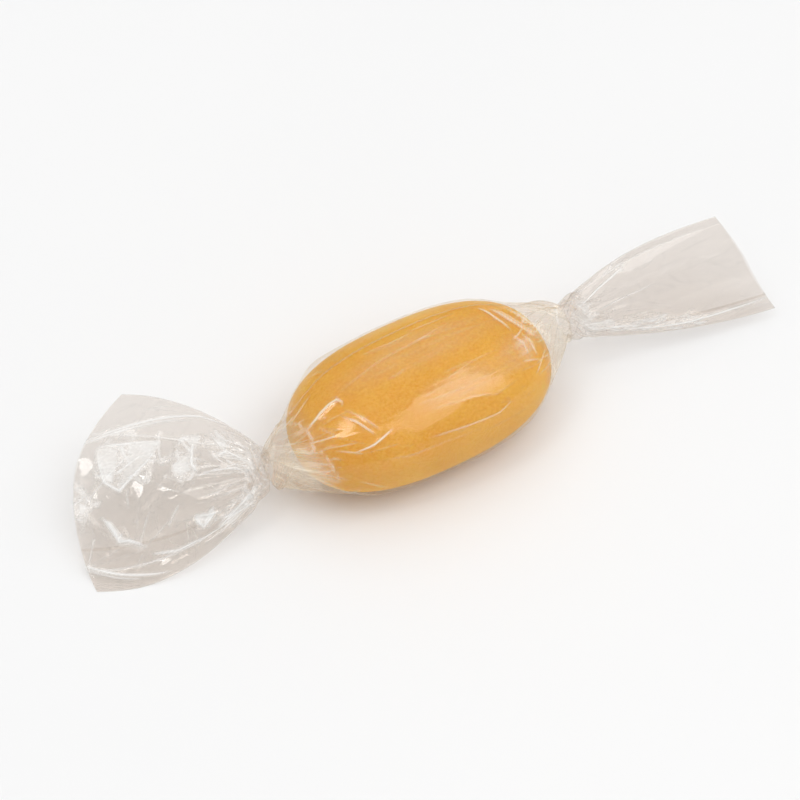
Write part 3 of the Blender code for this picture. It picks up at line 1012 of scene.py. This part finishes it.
def make_floor():
    """A pale table, part of the studio."""
    bpy.ops.mesh.primitive_plane_add(size=3)
    floor = bpy.context.object
    floor.name = "floor"
    made, tree = new_material("pale_table")
    grain = add_node(tree, "ShaderNodeTexNoise", {"Scale": 40}).outputs["Fac"]
    tone = ramp(tree, grain, (0, (0.86, 0.86, 0.86)), (1, (0.89, 0.89, 0.89)))
    shader = add_node(tree, "ShaderNodeBsdfPrincipled", {"Base Color": tone, "Roughness": 0.7})
    add_node(tree, "ShaderNodeOutputMaterial", {"Surface": shader.outputs[0]})
    floor.data.materials.append(made)


def add_lamp(name, azimuth, elevation, distance, width, height, radiance, mirrored):
    """An area light at a bearing and height seen from the sweet; azimuth 0 is on the -Y side."""
    light = bpy.data.lights.new(name, "AREA")
    light.shape = "RECTANGLE"
    light.size, light.size_y = width, height
    light.energy = radiance * math.pi * width * height
    obj = bpy.data.objects.new(name, light)
    obj.visible_glossy = mirrored
    bpy.context.scene.collection.objects.link(obj)
    a, e = math.radians(azimuth), math.radians(elevation)
    away = Vector((math.sin(a) * math.cos(e), -math.cos(a) * math.cos(e), math.sin(e)))
    obj.location = Vector((0, 0, SWEET_CENTRE_Z)) + away * distance
    obj.rotation_mode = "QUATERNION"
    obj.rotation_quaternion = away.to_track_quat("Z", "Y")


def make_camera():
    """A long lens from the photograph's side, with the sweet at its place in the photo's frame."""
    camera = bpy.data.cameras.new("camera")
    camera.sensor_width = SENSOR_WIDTH
    camera.lens = SENSOR_WIDTH * CAMERA_DISTANCE / VIEW_WIDTH
    camera.clip_start, camera.clip_end = 0.01, 10
    obj = bpy.data.objects.new("camera", camera)
    bpy.context.scene.collection.objects.link(obj)
    yaw = math.atan(math.tan(IMAGE_TILT) / math.sin(CAMERA_ELEVATION))
    back = Vector(
        (
            -math.sin(yaw) * math.cos(CAMERA_ELEVATION),
            -math.cos(yaw) * math.cos(CAMERA_ELEVATION),
            math.sin(CAMERA_ELEVATION),
        )
    )
    right = Vector((math.cos(yaw), -math.sin(yaw), 0))
    up = back.cross(right)
    metres_per_pixel = VIEW_WIDTH / FRAME_PIXELS
    aim = Vector((0, 0, SWEET_CENTRE_Z))
    aim -= right * (SWEET_PIXEL[0] - FRAME_PIXELS / 2) * metres_per_pixel
    aim += up * (SWEET_PIXEL[1] - FRAME_PIXELS / 2) * metres_per_pixel
    obj.location = aim + back * CAMERA_DISTANCE
    obj.rotation_mode = "QUATERNION"
    obj.rotation_quaternion = back.to_track_quat("Z", "Y")
    bpy.context.scene.camera = obj


def make_light():
    """The lamps, and a soft grey room that is paler overhead."""
    scene = bpy.context.scene
    scene.world = bpy.data.worlds.new("studio")
    scene.world.use_nodes = True
    tree = scene.world.node_tree
    place = add_node(tree, "ShaderNodeTexCoord").outputs["Generated"]
    height = add_node(tree, "ShaderNodeSeparateXYZ", {0: place}).outputs["Z"]
    grey = ramp(tree, height, (0.35, (0.50, 0.50, 0.50)), (0.95, (0.60, 0.60, 0.60)))
    tree.links.new(grey, tree.nodes["Background"].inputs["Color"])
    for name, lamp in LAMPS.items():
        add_lamp(name, *lamp)
    scene.view_settings.view_transform = "Standard"
    scene.cycles.transparent_max_bounces = 48
    scene.cycles.max_bounces = 12


make_sweet()
make_film()
make_floor()
make_light()
make_camera()
